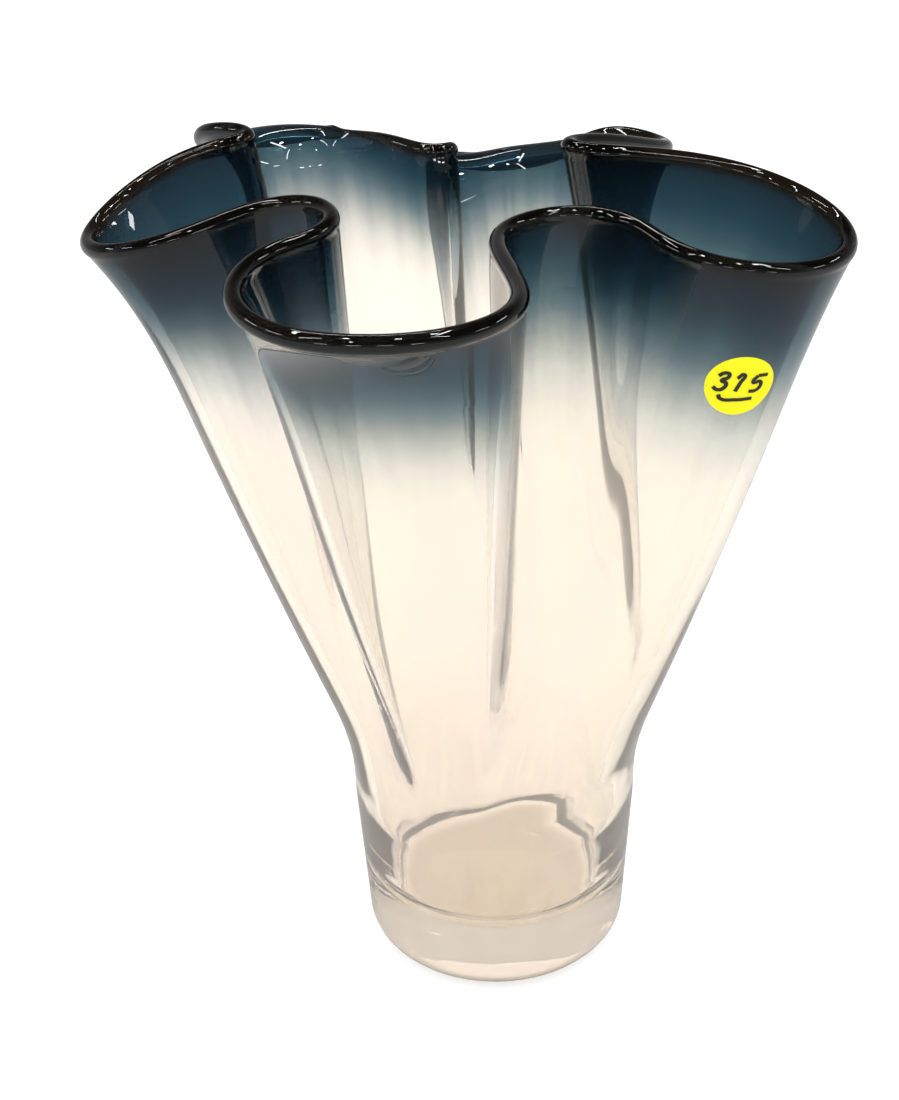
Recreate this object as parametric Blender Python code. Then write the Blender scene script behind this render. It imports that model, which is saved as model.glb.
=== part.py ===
"""Art glass vase with a ruffled rim, blown and worked in one piece, and the round label stuck on it.

The vase stands on a thick solid foot. Above a short straight body the wall flares out as a plain
bowl. While it was hot, the bowl was drawn in at six folds, and the six lobes between them were left
to fall outwards. One lobe at the back is a narrow tuck that lies behind its fold as a pleat. The rim
was then melted back into a round bead, and at the back it has rolled outwards.

Metres, +Z up. The origin is the centre of the flat ground underside, where the vase stands.
"""

import math

import bmesh
import bpy
import numpy as np
from mathutils import Vector

# Foot and straight body, outside
FOOT_RADIUS = 0.0459
FOOT_ROUND = 0.0080
BODY_RADIUS = 0.0489
NECK_HEIGHT = 0.0575

# Solid base and the cavity above it
FLOOR_HEIGHT = 0.0225
FLOOR_ROUND = 0.0110
BASE_WALL = 0.0066

# Flared wall, as the plain bowl that it was before it was folded
RIM_WALL = 0.0046
FLARE_LENGTH = 0.0470
FLARE_ANGLE = 20.2
LIP_ANGLE = 16.0
LIP_HEIGHT = 0.2680
BEAD_RADIUS = 0.0026

# How the lobes curl outwards below the rim, and how gently a fold starts
CURL_START = 0.2130
CURL_POWER = 2.6
CURL_EASE = 0.0080
FOLD_TOE = 0.05
ROLL_START = 0.2440

# The rim seen from above runs round twelve rounds in turn, outside a lobe's and inside a fold's.
# A bearing is in degrees from +X. A lobe's reach is from the axis to its tip, and a fold's gap is
# from the axis to its inner edge. Rise is the rim's height over LIP_HEIGHT, and roll is how many
# degrees the lip has rolled outwards above ROLL_START. A fold starts at the height "start" on the
# wall. Glass that slid sideways as it folded was drawn from another bearing of the bowl.
FRONT_LOBE = {"bearing": -108.2, "reach": 0.1321, "radius": 0.0372, "rise": 0.0078}
RIGHT_LOBE = {"bearing": -15.8, "reach": 0.1079, "radius": 0.0318, "rise": -0.0065}
BACK_RIGHT_LOBE = {
    "bearing": 55.9, "reach": 0.0890, "radius": 0.0163, "rise": -0.0025, "roll": 45, "drawn_from": 54,
}
BACK_TUCK = {
    "bearing": 105.1, "reach": 0.0611, "radius": 0.0052, "rise": -0.0015, "roll": 80, "drawn_from": 84,
}
BACK_LEFT_LOBE = {
    "bearing": 139.5, "reach": 0.0955, "radius": 0.0190, "rise": 0.0188, "roll": 160, "drawn_from": 136,
}
LEFT_LOBE = {"bearing": 181.3, "reach": 0.1187, "radius": 0.0291, "rise": -0.0065, "drawn_from": 185}
FRONT_RIGHT_FOLD = {
    "bearing": -57.5, "gap": 0.0185, "radius": 0.0219, "rise": 0.0036, "start": 0.075, "roll": 30,
    "drawn_from": -71.5,
}
RIGHT_FOLD = {"bearing": 16.8, "gap": 0.0254, "radius": 0.0085, "rise": 0.0138, "start": 0.095}
BACK_BEND = {
    "bearing": 89.7, "gap": 0.0620, "radius": 0.0300, "rise": 0.0095, "start": 0.095, "roll": 160,
    "drawn_from": 70,
}
BACK_FOLD = {
    "bearing": 113.5, "gap": 0.0285, "radius": 0.0052, "rise": 0.0072, "start": 0.100, "roll": 30,
    "drawn_from": 101,
}
LEFT_FOLD = {
    "bearing": 156.5, "gap": 0.0784, "radius": 0.0090, "rise": 0.0125, "start": 0.095, "drawn_from": 162,
}
FRONT_LEFT_FOLD = {
    "bearing": 216.4, "gap": 0.0570, "radius": 0.0214, "rise": 0.0117, "start": 0.062, "drawn_from": 218,
}
TURNS = [
    FRONT_LOBE, FRONT_RIGHT_FOLD, RIGHT_LOBE, RIGHT_FOLD, BACK_RIGHT_LOBE, BACK_BEND,
    BACK_TUCK, BACK_FOLD, BACK_LEFT_LOBE, LEFT_FOLD, LEFT_LOBE, FRONT_LEFT_FOLD,
]

# Round paper label on the right lobe, pressed on the outside of the wall
LABEL_RADIUS = 0.0095
LABEL_THICKNESS = 0.0002
LABEL_GAP = 0.0003
LABEL_TURN = 1.728
LABEL_DROP = 0.0235
LABEL_HEIGHT = LIP_HEIGHT - BEAD_RADIUS - LABEL_DROP - LABEL_RADIUS

# Fineness of the meshes
COLUMNS_PER_TURN = 10
WALL_ROWS = 11
LIP_ROWS = 5
CORNER_STEPS = 3
BEAD_STEPS = 6
RIM_SAMPLES = 24
RIM_EASE_PASSES = 6
PROFILE_STEPS = 400
PROFILE_OVERRUN = 1.12
STATION_STEP = 0.02
HEIGHT_STEP = 0.0008
LABEL_SIDES = 32
LABEL_RINGS = 3
LABEL_PASSES = 6
SHARP_ANGLE = 50


def ease(t):
    """Smooth step from 0 to 1."""
    t = np.clip(t, 0.0, 1.0)
    return t * t * (3.0 - 2.0 * t)


def compass(angle):
    """Unit vectors along and across a bearing in radians, seen from above."""
    along = np.stack([np.cos(angle), np.sin(angle)], -1)
    across = np.stack([-np.sin(angle), np.cos(angle)], -1)
    return along, across


def rim_line():
    """Closed line of the rim seen from above: arcs round the twelve rounds, joined by straights.

    Every turn, from the middle of one arc to the middle of the next, has RIM_SAMPLES points.
    """
    count = len(TURNS)
    side = [1 if "reach" in turn else -1 for turn in TURNS]
    radius = [turn["radius"] for turn in TURNS]
    centre = []
    for turn, way in zip(TURNS, side):
        far = turn["reach"] - turn["radius"] if way > 0 else turn["gap"] + turn["radius"]
        centre.append(compass(math.radians(turn["bearing"]))[0] * far)

    heading = []
    for i in range(count):
        j = (i + 1) % count
        between = centre[j] - centre[i]
        shift = side[j] * radius[j] - side[i] * radius[i]
        run = math.sqrt(max(between @ between - shift * shift, 1e-9))
        heading.append(math.atan2(between[1], between[0]) - math.atan2(shift, run))

    def arc(i, first, last):
        sweep = (side[i] * (heading[i] - heading[i - 1])) % (2 * math.pi)
        start = heading[i - 1] - side[i] * math.pi / 2
        angle = start + side[i] * sweep * np.linspace(first, last, RIM_SAMPLES + 1)
        return centre[i] + radius[i] * compass(angle)[0]

    stretches = []
    for i in range(count):
        path = np.concatenate([arc(i, 0.5, 1.0), arc((i + 1) % count, 0.0, 0.5)])
        steps = np.linalg.norm(np.diff(path, axis=0), axis=1)
        run = np.concatenate([[0.0], np.cumsum(steps)])
        stops = np.arange(RIM_SAMPLES) / RIM_SAMPLES * run[-1]
        xy = [np.interp(stops, run, path[:, axis]) for axis in (0, 1)]
        stretches.append(np.stack(xy, -1))
    line = np.concatenate(stretches)
    # Soft glass takes no sudden change of curve, so the arcs are eased into the straights
    for _ in range(RIM_EASE_PASSES):
        line = 0.5 * line + 0.25 * (np.roll(line, 1, 0) + np.roll(line, -1, 0))
    return line


def bowl_profile():
    """Radius and height along the wall of the plain bowl, from the neck up past the lip."""
    length = (LIP_HEIGHT - NECK_HEIGHT) * PROFILE_OVERRUN
    run = np.linspace(0.0, length, PROFILE_STEPS)
    over = (run - FLARE_LENGTH) / (length - FLARE_LENGTH)
    bend = FLARE_ANGLE * ease(run / FLARE_LENGTH)
    lean = np.radians(np.where(over < 0, bend, FLARE_ANGLE + (LIP_ANGLE - FLARE_ANGLE) * over))
    step = run[1]
    out = np.cumsum(0.5 * (np.sin(lean[1:]) + np.sin(lean[:-1]))) * step
    up = np.cumsum(0.5 * (np.cos(lean[1:]) + np.cos(lean[:-1]))) * step
    radius = BODY_RADIUS - RIM_WALL / 2 + np.concatenate([[0.0], out])
    height = NECK_HEIGHT + np.concatenate([[0.0], up])
    return radius, height


RIM = rim_line()
BOWL_RADIUS, BOWL_HEIGHT = bowl_profile()
RIM_TIPS = [math.degrees(math.atan2(y, x)) for x, y in RIM[::RIM_SAMPLES]]
BOWL_TIPS = [turn.get("drawn_from", tip) for turn, tip in zip(TURNS, RIM_TIPS)]
BOWL_BEARINGS = np.unwrap(np.radians(BOWL_TIPS))
RISES = np.array([turn["rise"] for turn in TURNS])
STARTS = np.array([turn.get("start", 0.0) for turn in TURNS])
ROLLS = np.radians([turn.get("roll", 0.0) for turn in TURNS])


def rim_point(station):
    """Point of the rim seen from above; whole stations are the tips of lobes and folds."""
    place = (station * RIM_SAMPLES) % len(RIM)
    first = np.floor(place).astype(int)
    t = (place - first)[..., None]
    a, b, c, d = (RIM[(first + k) % len(RIM)] for k in (-1, 0, 1, 2))
    bend = (2 * a - 5 * b + 4 * c - d) * t * t + (-a + 3 * b - 3 * c + d) * t ** 3
    return 0.5 * (2 * b + (c - a) * t + bend)


def bowl_bearing(station):
    """Bearing on the plain bowl of the glass that a station of the rim was drawn from."""
    first = np.floor(station).astype(int)
    t = station - first
    near = []
    for turn in (first - 1, first, first + 1, first + 2):
        whole_rounds, turn = np.divmod(turn, len(TURNS))
        near.append(BOWL_BEARINGS[turn] + 2 * np.pi * whole_rounds)
    a, b, c, d = near
    go_in, go_out = (c - a) / 2, (d - b) / 2
    blend = 3 * t ** 2 - 2 * t ** 3
    return b * (1 - blend) + c * blend + (t ** 3 - 2 * t ** 2 + t) * go_in + (t ** 3 - t ** 2) * go_out


def wall_line(station, height):
    """Point of the wall's middle line at a station, at the height it had in the plain bowl."""
    station, height = np.broadcast_arrays(np.asarray(station, float), np.asarray(height, float))
    count = len(TURNS)
    station = station % count
    turn = np.floor(station).astype(int) % count
    part = ease(station - np.floor(station))
    following = (turn + 1) % count
    rise = RISES[turn] * (1 - part) + RISES[following] * part
    roll = ROLLS[turn] * (1 - part) + ROLLS[following] * part

    # Folds are the odd turns: a column starts to fold where its neighbouring folds do
    fold = np.where(turn % 2 == 1, turn, turn - 1) % count
    share = ease(((station - fold) % count) / 2.0)
    start = STARTS[fold] * (1 - share) + STARTS[(fold + 2) % count] * share
    climb = np.clip((height - start) / (LIP_HEIGHT - start), 0.0, None)
    drawn = (np.sqrt(climb ** 2 + FOLD_TOE ** 2) - FOLD_TOE) / (math.hypot(1.0, FOLD_TOE) - FOLD_TOE)
    curled = np.clip((height - CURL_START) / (LIP_HEIGHT - CURL_START), 0.0, None) ** CURL_POWER

    # What the folding moved at the rim, inwards, outwards and sideways, grows up the wall
    along, across = compass(bowl_bearing(station))
    lip_radius = np.interp(LIP_HEIGHT, BOWL_HEIGHT, BOWL_RADIUS)
    moved = rim_point(station) - along * lip_radius
    outward = (moved * along).sum(-1)
    sideways = (moved * across).sum(-1)
    flung = 0.5 * (outward + np.sqrt(outward ** 2 + CURL_EASE ** 2))
    radius = np.interp(height, BOWL_HEIGHT, BOWL_RADIUS) + (outward - flung) * drawn + flung * curled
    xy = along * radius[..., None] + across * (sideways * drawn)[..., None]
    share_up = (height - NECK_HEIGHT) / (LIP_HEIGHT - NECK_HEIGHT)
    z = height + rise * share_up

    # The lip rolls outwards on an arc: out by 1 - cos, and down by what the arc falls short
    rolled = np.clip(height - ROLL_START, 0.0, None)
    half = roll * rolled / (LIP_HEIGHT - ROLL_START) / 2
    xy = xy + along * (rolled * half * np.sinc(half / np.pi) ** 2)[..., None]
    z = z - rolled * (1 - np.sinc(2 * half / np.pi))
    return np.concatenate([xy, z[..., None]], -1)


def wall_frame(station, height):
    """Outward normal of the wall and its upward direction there."""
    beside = wall_line(station + STATION_STEP, height) - wall_line(station - STATION_STEP, height)
    above = wall_line(station, height + HEIGHT_STEP) - wall_line(station, height - HEIGHT_STEP)
    out = np.cross(beside, above)
    out /= np.linalg.norm(out, axis=-1, keepdims=True)
    above /= np.linalg.norm(above, axis=-1, keepdims=True)
    return out, above


def arc_points(centre, radius, first, last, steps):
    """Points on an arc in the section, by angles in degrees."""
    angles = [math.radians(first + (last - first) * k / steps) for k in range(steps + 1)]
    return [(centre[0] + radius * math.cos(a), centre[1] + radius * math.sin(a)) for a in angles]


def glass_section():
    """Section of the gather as radius and height: the wall still stands straight above the neck."""
    section = [(0.0, 0.0)]
    section += arc_points((FOOT_RADIUS - FOOT_ROUND, FOOT_ROUND), FOOT_ROUND, -90, 0, CORNER_STEPS)
    middle = (FOOT_ROUND + NECK_HEIGHT) / 2
    section.append(((FOOT_RADIUS + BODY_RADIUS) / 2, middle))

    # The bead meets the wall's two faces where its circle is as wide as the wall
    bead_angle = math.degrees(math.acos(RIM_WALL / 2 / BEAD_RADIUS))
    bead_foot = LIP_HEIGHT - BEAD_RADIUS * math.sin(math.radians(bead_angle))
    rows = list(np.linspace(NECK_HEIGHT, ROLL_START, WALL_ROWS, endpoint=False))
    rows += list(np.linspace(ROLL_START, bead_foot, LIP_ROWS, endpoint=False))
    section += [(BODY_RADIUS, row) for row in rows]
    wall_middle = BODY_RADIUS - RIM_WALL / 2
    bead = (wall_middle, LIP_HEIGHT)
    section += arc_points(bead, BEAD_RADIUS, -bead_angle, 180 + bead_angle, BEAD_STEPS)
    for row in reversed(rows):
        up = (row - NECK_HEIGHT) / (bead_foot - NECK_HEIGHT)
        wall = BASE_WALL + (RIM_WALL - BASE_WALL) * ease(up * 2.0)
        section.append((BODY_RADIUS - wall, row))

    floor_radius = FOOT_RADIUS - BASE_WALL
    middle_radius = (FOOT_RADIUS + BODY_RADIUS) / 2 - BASE_WALL
    section.append((middle_radius, (FLOOR_HEIGHT + FLOOR_ROUND + NECK_HEIGHT) / 2))
    corner = (floor_radius - FLOOR_ROUND, FLOOR_HEIGHT + FLOOR_ROUND)
    section += arc_points(corner, FLOOR_ROUND, 0, -90, CORNER_STEPS)
    section.append((0.0, FLOOR_HEIGHT))
    return section


def drape(points, columns):
    """Carry the points of the straight gather to their places on the folded vase."""
    angle = np.arctan2(points[:, 1], points[:, 0]) % (2 * math.pi)
    column = np.round(angle / (2 * math.pi) * columns)
    station = column / columns * len(TURNS)
    radius = np.hypot(points[:, 0], points[:, 1])
    height = points[:, 2]
    straight = compass(bowl_bearing(station))[0] * radius[:, None]
    placed = np.concatenate([straight, height[:, None]], -1)

    up = height >= NECK_HEIGHT - 1e-6
    on_wall = np.minimum(height[up], LIP_HEIGHT)
    out, above = wall_frame(station[up], on_wall)
    off_middle = (radius[up] - (BODY_RADIUS - RIM_WALL / 2))[:, None]
    past_lip = (height[up] - on_wall)[:, None]
    placed[up] = wall_line(station[up], on_wall) + out * off_middle + above * past_lip
    return placed


def glass_material():
    """Clear soda glass, a little warm."""
    material = bpy.data.materials.new("clear_blue_rimmed_glass")
    material.use_nodes = True
    shader = material.node_tree.nodes["Principled BSDF"]
    shader.inputs["Base Color"].default_value = (0.62, 0.68, 0.72, 1.0)
    shader.inputs["Roughness"].default_value = 0.03
    shader.inputs["Metallic"].default_value = 0.0
    shader.inputs["IOR"].default_value = 1.5
    shader.inputs["Transmission Weight"].default_value = 0.6
    return material


def label_material():
    """Bright yellow coated paper."""
    material = bpy.data.materials.new("yellow_label_paper")
    material.use_nodes = True
    shader = material.node_tree.nodes["Principled BSDF"]
    shader.inputs["Base Color"].default_value = (0.95, 0.88, 0.05, 1.0)
    shader.inputs["Roughness"].default_value = 0.55
    shader.inputs["Metallic"].default_value = 0.0
    return material


def add_object(name, bm, material):
    """Make a named object of a finished mesh, shaded smooth but for its hard edges."""
    mesh = bpy.data.meshes.new(name)
    bm.to_mesh(mesh)
    bm.free()
    mesh.shade_smooth()
    mesh.set_sharp_from_angle(angle=math.radians(SHARP_ANGLE))
    mesh.materials.append(material)
    part = bpy.data.objects.new(name, mesh)
    bpy.context.scene.collection.objects.link(part)
    return part


def make_vase():
    """Turn the section into the straight gather, then fold and flare it."""
    columns = COLUMNS_PER_TURN * len(TURNS)
    bm = bmesh.new()
    corners = [bm.verts.new((radius, 0.0, height)) for radius, height in glass_section()]
    edges = [bm.edges.new(pair) for pair in zip(corners, corners[1:])]
    bmesh.ops.spin(
        bm, geom=corners + edges, cent=(0, 0, 0), axis=(0, 0, 1),
        angle=2 * math.pi, steps=columns, use_merge=True,
    )
    bmesh.ops.remove_doubles(bm, verts=bm.verts[:], dist=1e-6)
    bmesh.ops.recalc_face_normals(bm, faces=bm.faces[:])
    points = np.array([vert.co[:] for vert in bm.verts])
    for vert, place in zip(bm.verts, drape(points, columns)):
        vert.co = Vector(place)
    return add_object("vase", bm, glass_material())


def press_on_wall(flat_points, offset):
    """Lay the points of a flat disc on the wall's outside, keeping their distances."""
    station = np.full(len(flat_points), LABEL_TURN)
    height = np.full(len(flat_points), LABEL_HEIGHT)
    middle = wall_line(LABEL_TURN, LABEL_HEIGHT)
    out, above = wall_frame(LABEL_TURN, LABEL_HEIGHT)
    beside = np.cross(above, out)
    target = middle + flat_points[:, :1] * beside + flat_points[:, 1:2] * above
    for _ in range(LABEL_PASSES):
        here = wall_line(station, height)
        along = (wall_line(station + STATION_STEP, height) - here) / STATION_STEP
        upward = (wall_line(station, height + HEIGHT_STEP) - here) / HEIGHT_STEP
        miss = target - here
        across_miss, up_miss = miss @ beside, miss @ above
        across_turn, up_turn = along @ beside, along @ above
        across_rise, up_rise = upward @ beside, upward @ above
        size = across_turn * up_rise - across_rise * up_turn
        station = station + (across_miss * up_rise - across_rise * up_miss) / size
        height = height + (across_turn * up_miss - across_miss * up_turn) / size
    normal = wall_frame(station, height)[0]
    return wall_line(station, height) + normal * offset


def make_label():
    """Cut a disc of paper, lay it on the wall and give it its thickness outwards."""
    bm = bmesh.new()
    bmesh.ops.create_circle(bm, cap_ends=True, segments=LABEL_SIDES, radius=LABEL_RADIUS)
    middle = bm.faces[:]
    ring = LABEL_RADIUS / (LABEL_RINGS + 1)
    for _ in range(LABEL_RINGS):
        bmesh.ops.inset_region(bm, faces=middle, thickness=ring, use_boundary=True)
    bmesh.ops.poke(bm, faces=middle)
    flat_points = np.array([vert.co[:2] for vert in bm.verts])
    offset = RIM_WALL / 2 + LABEL_GAP
    for vert, place in zip(bm.verts, press_on_wall(flat_points, offset)):
        vert.co = Vector(place)
    bmesh.ops.solidify(bm, geom=bm.faces[:], thickness=-LABEL_THICKNESS)
    bmesh.ops.recalc_face_normals(bm, faces=bm.faces[:])
    return add_object("label", bm, label_material())


for old in list(bpy.data.objects):
    bpy.data.objects.remove(old, do_unlink=True)
make_vase()
make_label()
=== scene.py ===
"""Hand-blown glass vase with a ruffled rim and a round paper label, on a pale studio floor.

Everything is in metres in the part's own frame: +Z up, the origin at the centre of the flat ground
underside, and -Y towards the deep front lobe.
"""

import math

import bmesh
import bpy
import numpy as np
from mathutils import Matrix, Vector


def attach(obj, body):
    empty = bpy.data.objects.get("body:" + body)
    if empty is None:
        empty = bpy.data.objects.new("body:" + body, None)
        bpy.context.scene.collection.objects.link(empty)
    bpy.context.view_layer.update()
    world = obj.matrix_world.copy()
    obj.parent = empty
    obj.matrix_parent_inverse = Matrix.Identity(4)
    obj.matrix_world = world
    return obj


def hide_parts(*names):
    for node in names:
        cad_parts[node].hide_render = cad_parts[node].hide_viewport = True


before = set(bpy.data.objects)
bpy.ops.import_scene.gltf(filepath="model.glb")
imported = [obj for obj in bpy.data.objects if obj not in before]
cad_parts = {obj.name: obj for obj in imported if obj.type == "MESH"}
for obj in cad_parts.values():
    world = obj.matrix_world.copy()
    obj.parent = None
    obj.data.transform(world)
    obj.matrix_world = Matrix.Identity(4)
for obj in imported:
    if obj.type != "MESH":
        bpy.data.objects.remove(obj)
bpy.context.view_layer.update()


# The vase: one piece of blown soda glass. A gather is blown to a straight cup with a thick solid
# foot, its upper wall is flared to a plain bowl, and while it is hot the bowl is drawn in at six
# folds, so that lobes fall outwards. The lip is melted back to a round bead and rolls over behind.

# The gather, its flare and the curl of its lip: metres, degrees, and shares without a unit
FOOT_RADIUS = 0.0459
FOOT_ROUND = 0.0080
BODY_RADIUS = 0.0489
NECK_HEIGHT = 0.0575
FLOOR_HEIGHT = 0.0225
FLOOR_ROUND = 0.0110
BASE_WALL = 0.0066
RIM_WALL = 0.0046
WALL_TAPER_END = 0.5
BEAD_RADIUS = 0.0026
FLARE_LENGTH = 0.0470
FLARE_ANGLE = 20.2
LIP_ANGLE = 16.0
LIP_HEIGHT = 0.2680
CURL_START = 0.2130
CURL_POWER = 2.6
CURL_EASE = 0.0080
FOLD_TOE = 0.05
ROLL_START = 0.2440

# The rim seen from above runs round twelve rounds in turn, outside a lobe's and inside a fold's. A
# lobe's round reaches out to "reach", a fold's leaves "gap" to the middle, and both rise by "rise".
# A fold starts up the wall at "start", "roll" is how far the lip rolls over, and "drawn_from" is the
# bearing on the plain bowl that the glass came from, where that isn't the rim's own.
FRONT_LOBE = {"bearing": -108.2, "reach": 0.1321, "radius": 0.0372, "rise": 0.0078}
RIGHT_LOBE = {"bearing": -15.8, "reach": 0.1079, "radius": 0.0318, "rise": -0.0065}
BACK_RIGHT_LOBE = {
    "bearing": 55.9, "reach": 0.0890, "radius": 0.0163, "rise": -0.0025, "roll": 45, "drawn_from": 54,
}
BACK_TUCK = {
    "bearing": 105.1, "reach": 0.0611, "radius": 0.0052, "rise": -0.0015, "roll": 80, "drawn_from": 84,
}
BACK_LEFT_LOBE = {
    "bearing": 139.5, "reach": 0.0955, "radius": 0.0190, "rise": 0.0188, "roll": 160, "drawn_from": 136,
}
LEFT_LOBE = {"bearing": 181.3, "reach": 0.1187, "radius": 0.0291, "rise": -0.0065, "drawn_from": 185}
FRONT_RIGHT_FOLD = {
    "bearing": -57.5, "gap": 0.0185, "radius": 0.0219, "rise": 0.0036, "start": 0.075, "roll": 30,
    "drawn_from": -71.5,
}
RIGHT_FOLD = {"bearing": 16.8, "gap": 0.0254, "radius": 0.0085, "rise": 0.0138, "start": 0.095}
BACK_BEND = {
    "bearing": 89.7, "gap": 0.0620, "radius": 0.0300, "rise": 0.0095, "start": 0.095, "roll": 160,
    "drawn_from": 70,
}
BACK_FOLD = {
    "bearing": 113.5, "gap": 0.0285, "radius": 0.0052, "rise": 0.0072, "start": 0.100, "roll": 30,
    "drawn_from": 101,
}
LEFT_FOLD = {
    "bearing": 156.5, "gap": 0.0784, "radius": 0.0090, "rise": 0.0125, "start": 0.095, "drawn_from": 162,
}
FRONT_LEFT_FOLD = {
    "bearing": 216.4, "gap": 0.0570, "radius": 0.0214, "rise": 0.0117, "start": 0.062, "drawn_from": 218,
}
TURNS = [
    FRONT_LOBE, FRONT_RIGHT_FOLD, RIGHT_LOBE, RIGHT_FOLD, BACK_RIGHT_LOBE, BACK_BEND,
    BACK_TUCK, BACK_FOLD, BACK_LEFT_LOBE, LEFT_FOLD, LEFT_LOBE, FRONT_LEFT_FOLD,
]

# How finely the glass is divided, and the small steps over which its slope is taken
COLUMNS_PER_TURN = 36
WALL_ROWS = 50
LIP_ROWS = 22
CORNER_STEPS = 10
BEAD_STEPS = 16
FOOT_RINGS = (0.0, 0.3, 0.6, 0.85)
FLOOR_RINGS = (0.75, 0.45, 0.2, 0.0)
MERGE_DISTANCE = 1e-6
LEAST_RUN_SQUARED = 1e-9
RIM_SAMPLES = 24
RIM_EASE_PASSES = 6
PROFILE_STEPS = 400
PROFILE_OVERRUN = 1.12
STATION_STEP = 0.02
HEIGHT_STEP = 0.0008


def ease(t):
    """Smooth step from 0 to 1."""
    t = np.clip(t, 0.0, 1.0)
    return t * t * (3.0 - 2.0 * t)


def compass(angle):
    """Unit vectors along and across a bearing in radians, seen from above."""
    along = np.stack([np.cos(angle), np.sin(angle)], -1)
    across = np.stack([-np.sin(angle), np.cos(angle)], -1)
    return along, across


def rim_line():
    """Closed line of the rim seen from above: arcs round the twelve rounds, joined by straights."""
    count = len(TURNS)
    side = [1 if "reach" in turn else -1 for turn in TURNS]
    radius = [turn["radius"] for turn in TURNS]
    centre = []
    for turn, way in zip(TURNS, side):
        far = turn["reach"] - turn["radius"] if way > 0 else turn["gap"] + turn["radius"]
        centre.append(compass(math.radians(turn["bearing"]))[0] * far)

    heading = []
    for i in range(count):
        j = (i + 1) % count
        between = centre[j] - centre[i]
        shift = side[j] * radius[j] - side[i] * radius[i]
        # Rounds that overlap, as at the pleat, follow each other with next to no straight between
        run = math.sqrt(max(between @ between - shift * shift, LEAST_RUN_SQUARED))
        heading.append(math.atan2(between[1], between[0]) - math.atan2(shift, run))

    def arc(i, first, last):
        """Points round one turn's arc, between two shares of its sweep."""
        sweep = (side[i] * (heading[i] - heading[i - 1])) % (2 * math.pi)
        start = heading[i - 1] - side[i] * math.pi / 2
        angle = start + side[i] * sweep * np.linspace(first, last, RIM_SAMPLES + 1)
        return centre[i] + radius[i] * compass(angle)[0]

    stretches = []
    for i in range(count):
        path = np.concatenate([arc(i, 0.5, 1.0), arc((i + 1) % count, 0.0, 0.5)])
        steps = np.linalg.norm(np.diff(path, axis=0), axis=1)
        run = np.concatenate([[0.0], np.cumsum(steps)])
        stops = np.arange(RIM_SAMPLES) / RIM_SAMPLES * run[-1]
        xy = [np.interp(stops, run, path[:, axis]) for axis in (0, 1)]
        stretches.append(np.stack(xy, -1))
    line = np.concatenate(stretches)
    for _ in range(RIM_EASE_PASSES):
        line = 0.5 * line + 0.25 * (np.roll(line, 1, 0) + np.roll(line, -1, 0))
    return line


def bowl_profile():
    """Radius and height along the wall of the plain bowl, from the neck up past the lip."""
    length = (LIP_HEIGHT - NECK_HEIGHT) * PROFILE_OVERRUN
    run = np.linspace(0.0, length, PROFILE_STEPS)
    over = (run - FLARE_LENGTH) / (length - FLARE_LENGTH)
    bend = FLARE_ANGLE * ease(run / FLARE_LENGTH)
    lean = np.radians(np.where(over < 0, bend, FLARE_ANGLE + (LIP_ANGLE - FLARE_ANGLE) * over))
    step = run[1]
    out = np.cumsum(0.5 * (np.sin(lean[1:]) + np.sin(lean[:-1]))) * step
    up = np.cumsum(0.5 * (np.cos(lean[1:]) + np.cos(lean[:-1]))) * step
    radius = BODY_RADIUS - RIM_WALL / 2 + np.concatenate([[0.0], out])
    height = NECK_HEIGHT + np.concatenate([[0.0], up])
    return radius, height


RIM = rim_line()
BOWL_RADIUS, BOWL_HEIGHT = bowl_profile()
RIM_TIPS = [math.degrees(math.atan2(y, x)) for x, y in RIM[::RIM_SAMPLES]]
BOWL_TIPS = [turn.get("drawn_from", tip) for turn, tip in zip(TURNS, RIM_TIPS)]
BOWL_BEARINGS = np.unwrap(np.radians(BOWL_TIPS))
RISES = np.array([turn["rise"] for turn in TURNS])
STARTS = np.array([turn.get("start", 0.0) for turn in TURNS])
ROLLS = np.radians([turn.get("roll", 0.0) for turn in TURNS])


def rim_point(station):
    """Point of the rim seen from above; whole stations are the tips of lobes and folds."""
    place = (station * RIM_SAMPLES) % len(RIM)
    first = np.floor(place).astype(int)
    t = (place - first)[..., None]
    a, b, c, d = (RIM[(first + k) % len(RIM)] for k in (-1, 0, 1, 2))
    bend = (2 * a - 5 * b + 4 * c - d) * t * t + (-a + 3 * b - 3 * c + d) * t ** 3
    return 0.5 * (2 * b + (c - a) * t + bend)


def bowl_bearing(station):
    """Bearing on the plain bowl of the glass that a station of the rim was drawn from."""
    first = np.floor(station).astype(int)
    t = station - first
    near = []
    for turn in (first - 1, first, first + 1, first + 2):
        whole_rounds, turn = np.divmod(turn, len(TURNS))
        near.append(BOWL_BEARINGS[turn] + 2 * np.pi * whole_rounds)
    a, b, c, d = near
    go_in, go_out = (c - a) / 2, (d - b) / 2
    blend = 3 * t ** 2 - 2 * t ** 3
    return b * (1 - blend) + c * blend + (t ** 3 - 2 * t ** 2 + t) * go_in + (t ** 3 - t ** 2) * go_out


def turns_beside(station):
    """The turns before and after a station, and how far it is from the one to the other."""
    turn = np.floor(station).astype(int) % len(TURNS)
    part = ease(station - np.floor(station))
    return turn, (turn + 1) % len(TURNS), part


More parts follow.
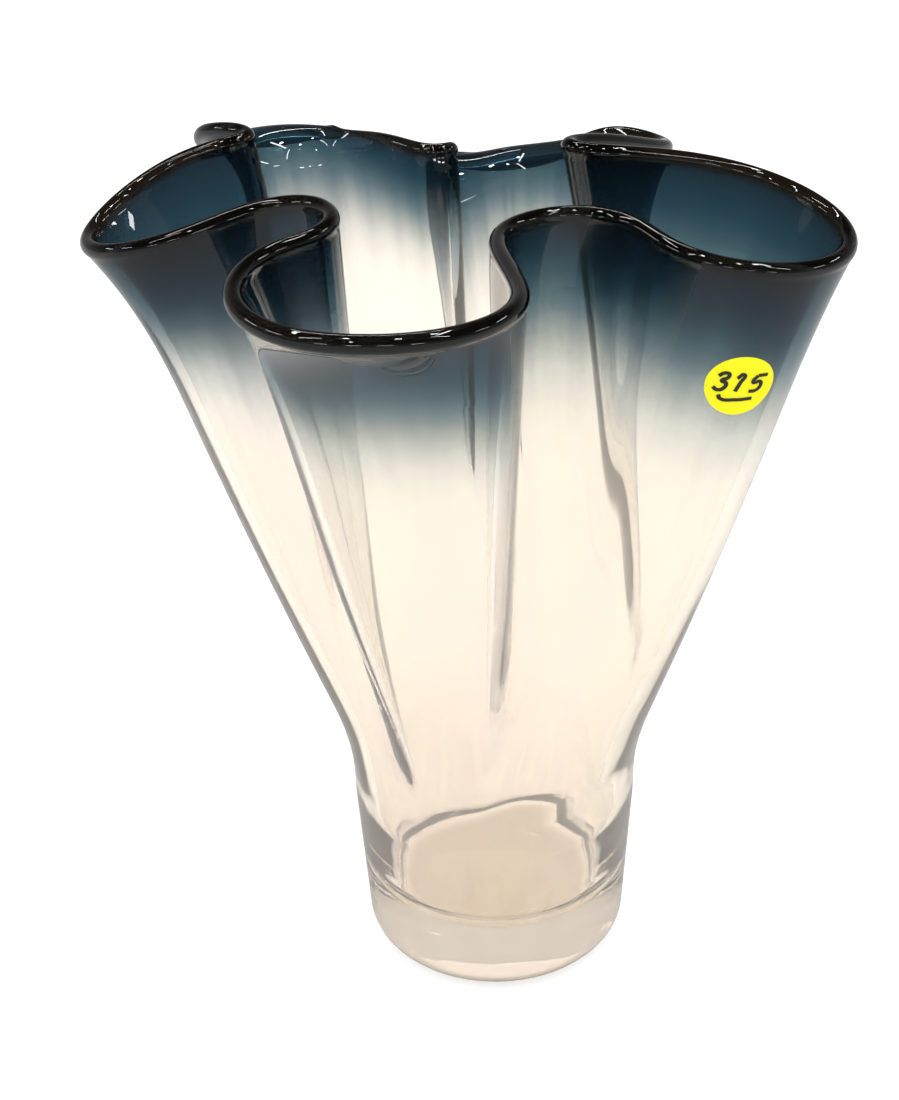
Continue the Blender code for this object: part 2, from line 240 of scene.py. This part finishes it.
def wall_line(station, height):
    """Point of the wall's middle line at a station, at the height it had in the plain bowl."""
    station, height = np.broadcast_arrays(np.asarray(station, float), np.asarray(height, float))
    count = len(TURNS)
    station = station % count
    turn, following, part = turns_beside(station)
    rise = RISES[turn] * (1 - part) + RISES[following] * part
    roll = ROLLS[turn] * (1 - part) + ROLLS[following] * part

    fold = np.where(turn % 2 == 1, turn, turn - 1) % count
    share = ease(((station - fold) % count) / 2.0)
    start = STARTS[fold] * (1 - share) + STARTS[(fold + 2) % count] * share
    climb = np.clip((height - start) / (LIP_HEIGHT - start), 0.0, None)
    drawn = (np.sqrt(climb ** 2 + FOLD_TOE ** 2) - FOLD_TOE) / (math.hypot(1.0, FOLD_TOE) - FOLD_TOE)
    curled = np.clip((height - CURL_START) / (LIP_HEIGHT - CURL_START), 0.0, None) ** CURL_POWER

    along, across = compass(bowl_bearing(station))
    lip_radius = np.interp(LIP_HEIGHT, BOWL_HEIGHT, BOWL_RADIUS)
    moved = rim_point(station) - along * lip_radius
    outward = (moved * along).sum(-1)
    sideways = (moved * across).sum(-1)
    flung = 0.5 * (outward + np.sqrt(outward ** 2 + CURL_EASE ** 2))
    radius = np.interp(height, BOWL_HEIGHT, BOWL_RADIUS) + (outward - flung) * drawn + flung * curled
    xy = along * radius[..., None] + across * (sideways * drawn)[..., None]
    share_up = (height - NECK_HEIGHT) / (LIP_HEIGHT - NECK_HEIGHT)
    z = height + rise * share_up

    # The lip rolls outwards on an arc: out by 1 - cos, and down by what the arc falls short
    rolled = np.clip(height - ROLL_START, 0.0, None)
    half = roll * rolled / (LIP_HEIGHT - ROLL_START) / 2
    xy = xy + along * (rolled * half * np.sinc(half / np.pi) ** 2)[..., None]
    z = z - rolled * (1 - np.sinc(2 * half / np.pi))
    return np.concatenate([xy, z[..., None]], -1)


def wall_frame(station, height):
    """Outward normal of the wall and its upward direction there."""
    beside = wall_line(station + STATION_STEP, height) - wall_line(station - STATION_STEP, height)
    above = wall_line(station, height + HEIGHT_STEP) - wall_line(station, height - HEIGHT_STEP)
    out = np.cross(beside, above)
    out /= np.linalg.norm(out, axis=-1, keepdims=True)
    above /= np.linalg.norm(above, axis=-1, keepdims=True)
    return out, above


def arc_points(centre, radius, first, last, steps):
    """Points on an arc in the section, by angles in degrees."""
    angles = [math.radians(first + (last - first) * k / steps) for k in range(steps + 1)]
    return [(centre[0] + radius * math.cos(a), centre[1] + radius * math.sin(a)) for a in angles]


def glass_section():
    """Section of the gather as radius and height: the wall still stands straight above the neck."""
    flat_radius = FOOT_RADIUS - FOOT_ROUND
    section = [(flat_radius * share, 0.0) for share in FOOT_RINGS]
    section += arc_points((flat_radius, FOOT_ROUND), FOOT_ROUND, -90, 0, CORNER_STEPS)
    body_rows = np.linspace(FOOT_ROUND, NECK_HEIGHT, CORNER_STEPS + 1)[1:-1]
    body_radii = np.interp(body_rows, [FOOT_ROUND, NECK_HEIGHT], [FOOT_RADIUS, BODY_RADIUS])
    section += list(zip(body_radii, body_rows))

    bead_angle = math.degrees(math.acos(RIM_WALL / 2 / BEAD_RADIUS))
    bead_foot = LIP_HEIGHT - BEAD_RADIUS * math.sin(math.radians(bead_angle))
    rows = list(np.linspace(NECK_HEIGHT, ROLL_START, WALL_ROWS, endpoint=False))
    rows += list(np.linspace(ROLL_START, bead_foot, LIP_ROWS, endpoint=False))
    section += [(BODY_RADIUS, row) for row in rows]
    wall_middle = BODY_RADIUS - RIM_WALL / 2
    bead = (wall_middle, LIP_HEIGHT)
    section += arc_points(bead, BEAD_RADIUS, -bead_angle, 180 + bead_angle, BEAD_STEPS)
    for row in reversed(rows):
        up = (row - NECK_HEIGHT) / (bead_foot - NECK_HEIGHT)
        wall = BASE_WALL + (RIM_WALL - BASE_WALL) * ease(up / WALL_TAPER_END)
        section.append((BODY_RADIUS - wall, row))

    corner_top = FLOOR_HEIGHT + FLOOR_ROUND
    floor_radius = FOOT_RADIUS - BASE_WALL
    inner_rows = np.linspace(NECK_HEIGHT, corner_top, CORNER_STEPS)[1:-1]
    inner_radii = np.interp(inner_rows, [corner_top, NECK_HEIGHT], [floor_radius, BODY_RADIUS - BASE_WALL])
    section += list(zip(inner_radii, inner_rows))
    corner = (floor_radius - FLOOR_ROUND, corner_top)
    section += arc_points(corner, FLOOR_ROUND, 0, -90, CORNER_STEPS)
    section += [(corner[0] * share, FLOOR_HEIGHT) for share in FLOOR_RINGS]
    return section


def drape(points, columns):
    """Carry the points of the straight gather to their places on the folded vase."""
    angle = np.arctan2(points[:, 1], points[:, 0]) % (2 * math.pi)
    column = np.round(angle / (2 * math.pi) * columns)
    station = column / columns * len(TURNS)
    radius = np.hypot(points[:, 0], points[:, 1])
    height = points[:, 2]
    straight = compass(bowl_bearing(station))[0] * radius[:, None]
    placed = np.concatenate([straight, height[:, None]], -1)

    up = height >= NECK_HEIGHT - MERGE_DISTANCE
    on_wall = np.minimum(height[up], LIP_HEIGHT)
    out, above = wall_frame(station[up], on_wall)
    off_middle = (radius[up] - (BODY_RADIUS - RIM_WALL / 2))[:, None]
    past_lip = (height[up] - on_wall)[:, None]
    placed[up] = wall_line(station[up], on_wall) + out * off_middle + above * past_lip
    return placed


# The colour was laid on the lip end of the gather, brown-black at the bead and blue below it, and it
# fades to clear glass within a hand's breadth. Every point keeps its depth below the lip, in metres
# and less where the colour ran further down, and its place on the gather, which the streaks follow.

COLOUR_REACH = 0.280
GLASS_TINTS = [
    (0.0000, (0.0100, 0.0070, 0.0050)),
    (0.0036, (0.0100, 0.0080, 0.0060)),
    (0.0052, (0.0120, 0.0280, 0.0460)),
    (0.0140, (0.0180, 0.0560, 0.0900)),
    (0.0205, (0.0450, 0.1000, 0.1400)),
    (0.0250, (0.0900, 0.1600, 0.2100)),
    (0.0285, (0.1450, 0.2200, 0.2800)),
    (0.0360, (0.3900, 0.4600, 0.4900)),
    (0.0440, (0.7000, 0.7600, 0.7900)),
    (0.0560, (0.9400, 0.9700, 0.9800)),
    (0.0720, (1.0000, 1.0000, 1.0000)),
    (0.1500, (1.0000, 0.9950, 0.9800)),
    (0.2250, (0.9950, 0.9850, 0.9700)),
    (0.2450, (0.9500, 0.9250, 0.9000)),
    (0.2706, (0.9500, 0.9200, 0.8900)),
]
# How much further down the colour ran at each of the turns, from below the bead to where it wears off
COLOUR_STRETCH = [1.03, 1.13, 1.42, 1.20, 1.06, 1.00, 1.30, 0.76, 0.98, 2.00, 0.97, 1.05]
STRETCH_FROM = 0.0056
STRETCH_ENDS = (0.060, 0.140)
CREAM_GLASS = (0.992, 0.985, 0.950)
ROSE_GLASS = (0.990, 0.962, 0.955)
# Scales of the patterns across and up the gather, and what each of them does to the glass
WANDER_SCALE = (260.0, 260.0, 6.0)
WANDER_SPREAD = (0.25, 0.75)
WANDER_DEPTH = (0.88, 1.12)
STREAK_SCALE = (55.0, 55.0, 5.0)
STREAK_SPREAD = (0.40, 0.60)
RIPPLE_SCALE = (120.0, 120.0, 3.0)
RIPPLE_HEIGHT = 0.0004
RIPPLE_STRENGTH = 0.15
GLASS_INDEX = 1.5
GLASS_CLARITY = 0.90


def noise_on_gather(nodes, links, scale, detail):
    """Noise that follows the drawn glass, by its place on the straight gather."""
    gather = nodes.new("ShaderNodeAttribute")
    gather.attribute_name = "gather"
    drawn_out = nodes.new("ShaderNodeMapping")
    drawn_out.inputs["Scale"].default_value = scale
    noise = nodes.new("ShaderNodeTexNoise")
    noise.inputs["Scale"].default_value = 1.0
    noise.inputs["Detail"].default_value = detail
    links.new(gather.outputs["Vector"], drawn_out.inputs["Vector"])
    links.new(drawn_out.outputs["Vector"], noise.inputs["Vector"])
    return noise.outputs["Fac"]


def glass_material():
    """Clear soda glass in cream and rose streaks, coloured by how far below the lip it lies."""
    material = bpy.data.materials.new("blown_glass_blue_lip")
    material.use_nodes = True
    nodes, links = material.node_tree.nodes, material.node_tree.links
    shader = nodes["Principled BSDF"]
    shader.inputs["Roughness"].default_value = 0.0
    shader.inputs["IOR"].default_value = GLASS_INDEX
    shader.inputs["Transmission Weight"].default_value = GLASS_CLARITY

    below = nodes.new("ShaderNodeAttribute")
    below.attribute_name = "below_lip"
    wander = nodes.new("ShaderNodeMapRange")
    wander.inputs["From Min"].default_value = WANDER_SPREAD[0]
    wander.inputs["From Max"].default_value = WANDER_SPREAD[1]
    wander.inputs["To Min"].default_value = WANDER_DEPTH[0]
    wander.inputs["To Max"].default_value = WANDER_DEPTH[1]
    depth = nodes.new("ShaderNodeMath")
    depth.operation = "MULTIPLY"
    share = nodes.new("ShaderNodeMath")
    share.operation = "DIVIDE"
    share.inputs[1].default_value = COLOUR_REACH
    ramp = nodes.new("ShaderNodeValToRGB")
    stops = ramp.color_ramp.elements
    while len(stops) < len(GLASS_TINTS):
        stops.new(0.5)
    for stop, (depth_m, tint) in zip(stops, GLASS_TINTS):
        stop.position = depth_m / COLOUR_REACH
        stop.color = (*tint, 1.0)
    links.new(noise_on_gather(nodes, links, WANDER_SCALE, 3.0), wander.inputs["Value"])
    links.new(below.outputs["Fac"], depth.inputs[0])
    links.new(wander.outputs["Result"], depth.inputs[1])
    links.new(depth.outputs["Value"], share.inputs[0])
    links.new(share.outputs["Value"], ramp.inputs["Fac"])

    streak = nodes.new("ShaderNodeValToRGB")
    for end, position, tint in zip(streak.color_ramp.elements, STREAK_SPREAD, (CREAM_GLASS, ROSE_GLASS)):
        end.position = position
        end.color = (*tint, 1.0)
    links.new(noise_on_gather(nodes, links, STREAK_SCALE, 2.0), streak.inputs["Fac"])
    tinted = nodes.new("ShaderNodeMix")
    tinted.data_type = "RGBA"
    tinted.blend_type = "MULTIPLY"
    tinted.inputs["Factor"].default_value = 1.0
    links.new(ramp.outputs["Color"], tinted.inputs["A"])
    links.new(streak.outputs["Color"], tinted.inputs["B"])
    links.new(tinted.outputs["Result"], shader.inputs["Base Color"])

    ripple = nodes.new("ShaderNodeBump")
    ripple.inputs["Strength"].default_value = RIPPLE_STRENGTH
    ripple.inputs["Distance"].default_value = RIPPLE_HEIGHT
    links.new(noise_on_gather(nodes, links, RIPPLE_SCALE, 1.0), ripple.inputs["Height"])
    links.new(ripple.outputs["Normal"], shader.inputs["Normal"])
    return material


def mark_colour(mesh, points):
    """Store how deep below the lip the colour takes each point to be, and its place on the gather."""
    around = np.arctan2(points[:, 1], points[:, 0]) % (2 * math.pi) / (2 * math.pi) * len(TURNS)
    turn, following, part = turns_beside(around)
    reaches = np.array(COLOUR_STRETCH)
    stretch = reaches[turn] * (1 - part) + reaches[following] * part
    depths = LIP_HEIGHT + BEAD_RADIUS - points[:, 2]
    low = ease((depths - STRETCH_ENDS[0]) / (STRETCH_ENDS[1] - STRETCH_ENDS[0]))
    past_bead = np.maximum(depths - STRETCH_FROM, 0.0)
    depths = np.clip(depths, 0.0, STRETCH_FROM) + past_bead / (1 + (stretch - 1) * (1 - low))
    below_lip = mesh.attributes.new("below_lip", "FLOAT", "POINT")
    below_lip.data.foreach_set("value", depths.astype(np.float32))
    gather = mesh.attributes.new("gather", "FLOAT_VECTOR", "POINT")
    gather.data.foreach_set("vector", points.astype(np.float32).ravel())


def make_vase():
    """Turn the section into the straight gather, then fold and flare it."""
    columns = COLUMNS_PER_TURN * len(TURNS)
    bm = bmesh.new()
    corners = [bm.verts.new((radius, 0.0, height)) for radius, height in glass_section()]
    edges = [bm.edges.new(pair) for pair in zip(corners, corners[1:])]
    bmesh.ops.spin(
        bm, geom=corners + edges, cent=(0, 0, 0), axis=(0, 0, 1),
        angle=2 * math.pi, steps=columns, use_merge=True,
    )
    bmesh.ops.remove_doubles(bm, verts=bm.verts[:], dist=MERGE_DISTANCE)
    bmesh.ops.recalc_face_normals(bm, faces=bm.faces[:])
    points = np.array([vert.co[:] for vert in bm.verts])
    for vert, place in zip(bm.verts, drape(points, columns)):
        vert.co = Vector(place)
    mesh = bpy.data.meshes.new("blown_vase")
    bm.to_mesh(mesh)
    bm.free()
    mesh.shade_smooth()
    mark_colour(mesh, points)
    mesh.materials.append(glass_material())
    vase = bpy.data.objects.new("blown_vase", mesh)
    bpy.context.scene.collection.objects.link(vase)
    return vase


vase = make_vase()
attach(vase, "root")
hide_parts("vase")


# The label: a stock round sticker of bright yellow coated paper, pressed on the outside of the right
# lobe, a little below the blue. Paper is stiff along a line, so it only takes the wall's own curve.

LABEL_RADIUS = 0.0095
LABEL_THICKNESS = 0.0002
LABEL_GAP = 0.0003
LABEL_TURN = 1.728
LABEL_DROP = 0.0235
LABEL_HEIGHT = LIP_HEIGHT - BEAD_RADIUS - LABEL_DROP - LABEL_RADIUS
LABEL_SIDES = 96
LABEL_RINGS = 7
LABEL_PASSES = 6
LABEL_EDGE = math.radians(50)
PAPER_SHADES = [(0.3, (0.95, 0.88, 0.010)), (0.7, (1.00, 0.95, 0.020))]
# Painted light: the paper gives off a little light of its own, so it shows brighter than the lamps light
# it
LABEL_PAINTED_GLOW = (1.0, 0.95, 0.02, 1.0)
LABEL_PAINTED_GLOW_STRENGTH = 0.12
PAPER_FIBRE_SCALE = 1400.0
PAPER_FIBRE_HEIGHT = 0.00005


def press_on_wall(flat_points, offset):
    """Lay flat points on the wall's outside, each straight behind its place on the flat."""
    station = np.full(len(flat_points), LABEL_TURN)
    height = np.full(len(flat_points), LABEL_HEIGHT)
    middle = wall_line(LABEL_TURN, LABEL_HEIGHT)
    out, above = wall_frame(LABEL_TURN, LABEL_HEIGHT)
    beside = np.cross(above, out)
    target = middle + flat_points[:, :1] * beside + flat_points[:, 1:2] * above
    for _ in range(LABEL_PASSES):
        here = wall_line(station, height)
        along = (wall_line(station + STATION_STEP, height) - here) / STATION_STEP
        upward = (wall_line(station, height + HEIGHT_STEP) - here) / HEIGHT_STEP
        miss = target - here
        across_miss, up_miss = miss @ beside, miss @ above
        across_turn, up_turn = along @ beside, along @ above
        across_rise, up_rise = upward @ beside, upward @ above
        area = across_turn * up_rise - across_rise * up_turn
        station = station + (across_miss * up_rise - across_rise * up_miss) / area
        height = height + (across_turn * up_miss - across_miss * up_turn) / area
    normal = wall_frame(station, height)[0]
    return wall_line(station, height) + normal * np.reshape(offset, (-1, 1))


def paper_material():
    """Yellow coated paper with a faint fibre, and a painted glow that makes it brighter than the lamps
    light it.
    """
    material = bpy.data.materials.new("yellow_label_paper")
    material.use_nodes = True
    nodes, links = material.node_tree.nodes, material.node_tree.links
    shader = nodes["Principled BSDF"]
    shader.inputs["Roughness"].default_value = 0.6
    shader.inputs["Specular IOR Level"].default_value = 0.2
    # The painted glow, which lifts the paper above the light that falls on it
    shader.inputs["Emission Color"].default_value = LABEL_PAINTED_GLOW
    shader.inputs["Emission Strength"].default_value = LABEL_PAINTED_GLOW_STRENGTH
    place = nodes.new("ShaderNodeTexCoord")
    fibre = nodes.new("ShaderNodeTexNoise")
    fibre.inputs["Scale"].default_value = PAPER_FIBRE_SCALE
    fibre.inputs["Detail"].default_value = 4.0
    shade = nodes.new("ShaderNodeValToRGB")
    for end, (position, tint) in zip(shade.color_ramp.elements, PAPER_SHADES):
        end.position = position
        end.color = (*tint, 1.0)
    bump = nodes.new("ShaderNodeBump")
    bump.inputs["Strength"].default_value = 0.15
    bump.inputs["Distance"].default_value = PAPER_FIBRE_HEIGHT
    links.new(place.outputs["Object"], fibre.inputs["Vector"])
    links.new(fibre.outputs["Fac"], shade.inputs["Fac"])
    links.new(fibre.outputs["Fac"], bump.inputs["Height"])
    links.new(shade.outputs["Color"], shader.inputs["Base Color"])
    links.new(bump.outputs["Normal"], shader.inputs["Normal"])
    return material


bm = bmesh.new()
bmesh.ops.create_circle(bm, cap_ends=True, segments=LABEL_SIDES, radius=LABEL_RADIUS)
middle_face = bm.faces[:]
for _ in range(LABEL_RINGS):
    bmesh.ops.inset_region(
        bm, faces=middle_face, thickness=LABEL_RADIUS / (LABEL_RINGS + 1), use_boundary=True,
    )
bmesh.ops.poke(bm, faces=middle_face)
flat_points = np.array([vert.co[:2] for vert in bm.verts])
for vert, place in zip(bm.verts, press_on_wall(flat_points, RIM_WALL / 2 + LABEL_GAP)):
    vert.co = Vector(place)
bmesh.ops.solidify(bm, geom=bm.faces[:], thickness=-LABEL_THICKNESS)
bmesh.ops.recalc_face_normals(bm, faces=bm.faces[:])
label_mesh = bpy.data.meshes.new("paper_label")
bm.to_mesh(label_mesh)
bm.free()
label_mesh.shade_smooth()
label_mesh.set_sharp_from_angle(angle=LABEL_EDGE)
label_mesh.materials.append(paper_material())
label = bpy.data.objects.new("paper_label", label_mesh)
bpy.context.scene.collection.objects.link(label)
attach(label, "root")
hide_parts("label")


# The stock number on the label: three plain digits and a stroke under them, in black felt-tip. Each
# stroke is a thin film of ink on the paper, drawn in millimetres from the label's middle.

INK_LINE = 0.00056
INK_HEIGHT = 0.00005
INK_SLANT = 0.22
INK_BLOT_SCALE = 900.0
MILLIMETRES = 1000
STROKES = [
    [(-7.2, 2.9), (-6.2, 4.0), (-4.9, 3.9), (-4.7, 2.7), (-5.8, 1.5), (-4.5, 0.9), (-4.4, -0.8),
     (-5.8, -1.6), (-7.2, -0.8)],
    [(-2.2, 2.7), (-0.9, 4.0), (-0.8, 1.2), (-1.0, -1.6)],
    [(6.0, 3.9), (3.3, 3.7)],
    [(3.3, 3.7), (2.8, 1.5), (4.7, 1.7), (5.5, 0.2), (4.7, -1.3), (2.8, -1.5)],
    [(-4.8, -3.1), (-4.0, -4.2), (0.0, -4.4), (4.8, -3.9)],
]


def ink_material():
    """Black felt-tip ink, a little browned where it is thin."""
    material = bpy.data.materials.new("felt_tip_ink")
    material.use_nodes = True
    nodes, links = material.node_tree.nodes, material.node_tree.links
    shader = nodes["Principled BSDF"]
    shader.inputs["Roughness"].default_value = 0.45
    place = nodes.new("ShaderNodeTexCoord")
    blot = nodes.new("ShaderNodeTexNoise")
    blot.inputs["Scale"].default_value = INK_BLOT_SCALE
    shade = nodes.new("ShaderNodeValToRGB")
    shade.color_ramp.elements[0].color = (0.006, 0.006, 0.008, 1.0)
    shade.color_ramp.elements[1].color = (0.028, 0.026, 0.018, 1.0)
    links.new(place.outputs["Object"], blot.inputs["Vector"])
    links.new(blot.outputs["Fac"], shade.inputs["Fac"])
    links.new(shade.outputs["Color"], shader.inputs["Base Color"])
    return material


def pen_line(stroke):
    """Mesh of a round line through the points of a stroke, still flat and in its full thickness."""
    pen = bpy.data.curves.new("stroke", "CURVE")
    pen.dimensions = "3D"
    pen.bevel_depth = INK_LINE
    pen.bevel_resolution = 3
    pen.use_fill_caps = True
    pen.resolution_u = 10
    run = pen.splines.new("BEZIER")
    run.bezier_points.add(len(stroke) - 1)
    for point, (x, y) in zip(run.bezier_points, stroke):
        point.co = ((x + INK_SLANT * y) / MILLIMETRES, y / MILLIMETRES, 0.0)
        point.handle_left_type = point.handle_right_type = "AUTO"
    draft = bpy.data.objects.new("stroke", pen)
    bpy.context.scene.collection.objects.link(draft)
    bpy.context.view_layer.update()
    ready = draft.evaluated_get(bpy.context.evaluated_depsgraph_get())
    mesh = bpy.data.meshes.new_from_object(ready)
    bpy.data.objects.remove(draft)
    return mesh


ink = ink_material()
paper_top = RIM_WALL / 2 + LABEL_GAP + LABEL_THICKNESS
for number, stroke in enumerate(STROKES):
    mesh = pen_line(stroke)
    flat = np.array([vert.co[:] for vert in mesh.vertices])
    lift = paper_top + flat[:, 2] / INK_LINE * INK_HEIGHT
    mesh.vertices.foreach_set("co", press_on_wall(flat[:, :2], lift).astype(np.float32).ravel())
    mesh.materials.clear()
    mesh.materials.append(ink)
    mesh.shade_smooth()
    mesh.update()
    piece = bpy.data.objects.new(f"ink_stroke_{number + 1}", mesh)
    bpy.context.scene.collection.objects.link(piece)
    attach(piece, "root")


# The studio: a plain pale floor in a soft even light, with a few lamps overhead and around, which the
# glass shows as short dashes. Seen in its polish, the room is dim; seen through it, a warm white.

FLOOR_SIZE = 12.0
FLOOR_ALBEDO = 0.44
FLOOR_GLOW = 0.62
WARM_FLOOR = (1.07, 0.86, 0.62)
FLOOR_DROP = 0.0002


def path_share(nodes, links):
    """One for rays that look at the background straight, or through glass; nothing for others."""
    path = nodes.new("ShaderNodeLightPath")
    either = nodes.new("ShaderNodeMath")
    either.operation = "MAXIMUM"
    links.new(path.outputs["Is Camera Ray"], either.inputs[0])
    links.new(path.outputs["Is Transmission Ray"], either.inputs[1])
    return either.outputs["Value"]


def warmed(nodes, links, warm):
    """White for what is seen straight, and the room's warm white for what is seen through glass."""
    path = nodes.new("ShaderNodeLightPath")
    tone = nodes.new("ShaderNodeMix")
    tone.data_type = "RGBA"
    tone.inputs["A"].default_value = (1.0, 1.0, 1.0, 1.0)
    tone.inputs["B"].default_value = (*warm, 1.0)
    links.new(path.outputs["Is Transmission Ray"], tone.inputs["Factor"])
    return tone.outputs["Result"]


bm = bmesh.new()
bmesh.ops.create_grid(bm, x_segments=1, y_segments=1, size=FLOOR_SIZE / 2)
floor_mesh = bpy.data.meshes.new("floor")
bm.to_mesh(floor_mesh)
bm.free()
floor_paint = bpy.data.materials.new("pale_floor")
floor_paint.use_nodes = True
nodes, links = floor_paint.node_tree.nodes, floor_paint.node_tree.links
matte = nodes["Principled BSDF"]
matte.inputs["Base Color"].default_value = (FLOOR_ALBEDO, FLOOR_ALBEDO, FLOOR_ALBEDO, 1.0)
matte.inputs["Roughness"].default_value = 0.9
matte.inputs["Specular IOR Level"].default_value = 0.0
glow = nodes.new("ShaderNodeMath")
glow.operation = "MULTIPLY"
glow.inputs[1].default_value = FLOOR_GLOW
links.new(path_share(nodes, links), glow.inputs[0])
links.new(warmed(nodes, links, WARM_FLOOR), matte.inputs["Emission Color"])
links.new(glow.outputs["Value"], matte.inputs["Emission Strength"])
floor_mesh.materials.append(floor_paint)
floor = bpy.data.objects.new("floor", floor_mesh)
floor.location.z = -FLOOR_DROP
bpy.context.scene.collection.objects.link(floor)

# The room's light on the object, and how bright the room looks by the height of the sky, from the
# horizon at 0 to straight up at 1
WARM_ROOM = (1.0, 0.90, 0.77)
ROOM_LIGHT = 0.95
THROUGH_GLASS = [(0.0, 1.00), (0.06, 0.80), (0.14, 0.42), (0.35, 0.60), (0.55, 0.85), (1.0, 0.70)]
IN_THE_POLISH = [(0.0, 0.30), (0.5, 0.03)]


def up_the_sky(nodes, links, stops):
    """Brightness that follows the given stops up the sky."""
    sky = nodes.new("ShaderNodeTexCoord")
    split = nodes.new("ShaderNodeSeparateXYZ")
    fall = nodes.new("ShaderNodeValToRGB")
    marks = fall.color_ramp.elements
    while len(marks) < len(stops):
        marks.new(0.5)
    for mark, (height, level) in zip(marks, stops):
        mark.position = height
        mark.color = (level, level, level, 1.0)
    links.new(sky.outputs["Generated"], split.inputs["Vector"])
    links.new(split.outputs["Z"], fall.inputs["Fac"])
    return fall.outputs["Color"]


def chosen(nodes, links, when, then, otherwise):
    """The brightness for one kind of ray, and another for the rest."""
    choice = nodes.new("ShaderNodeMix")
    choice.data_type = "FLOAT"
    links.new(when, choice.inputs["Factor"])
    for value, socket in ((otherwise, choice.inputs["A"]), (then, choice.inputs["B"])):
        if isinstance(value, float):
            socket.default_value = value
        else:
            links.new(value, socket)
    return choice.outputs["Result"]


world = bpy.data.worlds.new("studio")
world.use_nodes = True
bpy.context.scene.world = world
nodes, links = world.node_tree.nodes, world.node_tree.links
background = nodes["Background"]
ray = nodes.new("ShaderNodeLightPath").outputs
in_polish = up_the_sky(nodes, links, IN_THE_POLISH)
through_glass = up_the_sky(nodes, links, THROUGH_GLASS)
mirrored = chosen(nodes, links, ray["Is Glossy Ray"], in_polish, ROOM_LIGHT)
refracted = chosen(nodes, links, ray["Is Transmission Ray"], through_glass, mirrored)
seen = chosen(nodes, links, ray["Is Camera Ray"], 1.0, refracted)
links.new(warmed(nodes, links, WARM_ROOM), background.inputs["Color"])
links.new(seen, background.inputs["Strength"])

# Like lamps share a height, a size in metres and a power in watts; their places on the plan follow
CEILING_STRIPS = (2.40, (1.20, 0.08), 7.0, [(-1.10, 0.60), (0.95, 0.20), (-0.15, 1.90)])
CROSSWISE_STRIPS = (2.40, (0.08, 1.20), 7.0, [(1.70, -1.10), (-1.60, -0.90)])
CEILING_SQUARES = (2.40, (0.12, 0.12), 4.0, [(0.35, -0.60), (-0.45, -0.20), (0.75, 0.25), (-0.70, -1.90)])
FAR_STRIPS = (2.20, (1.20, 0.12), 9.0, [(-3.90, -0.60), (3.60, 1.50)])
FRONT_STRIPS = (1.30, (0.90, 0.12), 8.0, [(-3.20, -4.20), (-1.40, -4.90), (0.50, -5.00), (2.40, -4.60)])
SIDE_STRIPS = (2.00, (1.10, 0.13), 7.0, [(4.30, -0.50), (-4.10, 1.20)])
LAMPS = [CEILING_STRIPS, CROSSWISE_STRIPS, CEILING_SQUARES, FAR_STRIPS, FRONT_STRIPS, SIDE_STRIPS]


def hang_lamp(name, middle, size, power):
    """Hang an oblong lamp and turn it towards the vase."""
    light = bpy.data.lights.new(name, "AREA")
    light.shape = "RECTANGLE"
    light.size, light.size_y = size
    light.energy = power
    lamp = bpy.data.objects.new(name, light)
    lamp.location = middle
    lamp.rotation_euler = Vector(middle).to_track_quat("Z", "Y").to_euler()
    bpy.context.scene.collection.objects.link(lamp)


number = 0
for height, size, power, places in LAMPS:
    for x, y in places:
        hang_lamp(f"lamp_{number}", (x, y, height), size, power)
        number += 1


# The camera stands about two thirds of a metre from the vase and looks down into its mouth. Its lens,
# place and tilt were fitted to the outline of the foot, the body and the rim.

PHOTO_HEIGHT_PX = 1100
FOCAL_PX = 1800
SENSOR_HEIGHT = 36.0
CAMERA_PLACE = (-0.01348, -0.51838, 0.43778)
CAMERA_PITCH = math.radians(29.0)
CAMERA_ROLL = math.radians(-1.67)

lens = bpy.data.cameras.new("camera")
lens.sensor_fit = "VERTICAL"
lens.sensor_height = SENSOR_HEIGHT
lens.lens = SENSOR_HEIGHT * FOCAL_PX / PHOTO_HEIGHT_PX
lens.clip_start = 0.01
forward = Vector((0.0, math.cos(CAMERA_PITCH), -math.sin(CAMERA_PITCH)))
level_up = Vector((0.0, math.sin(CAMERA_PITCH), math.cos(CAMERA_PITCH)))
right = math.cos(CAMERA_ROLL) * Vector((1.0, 0.0, 0.0)) + math.sin(CAMERA_ROLL) * level_up
up = right.cross(forward)
camera = bpy.data.objects.new("camera", lens)
turn = Matrix((right, up, -forward)).transposed().to_4x4()
camera.matrix_world = Matrix.Translation(CAMERA_PLACE) @ turn
bpy.context.scene.collection.objects.link(camera)
bpy.context.scene.camera = camera
bpy.context.scene.view_settings.view_transform = "Standard"
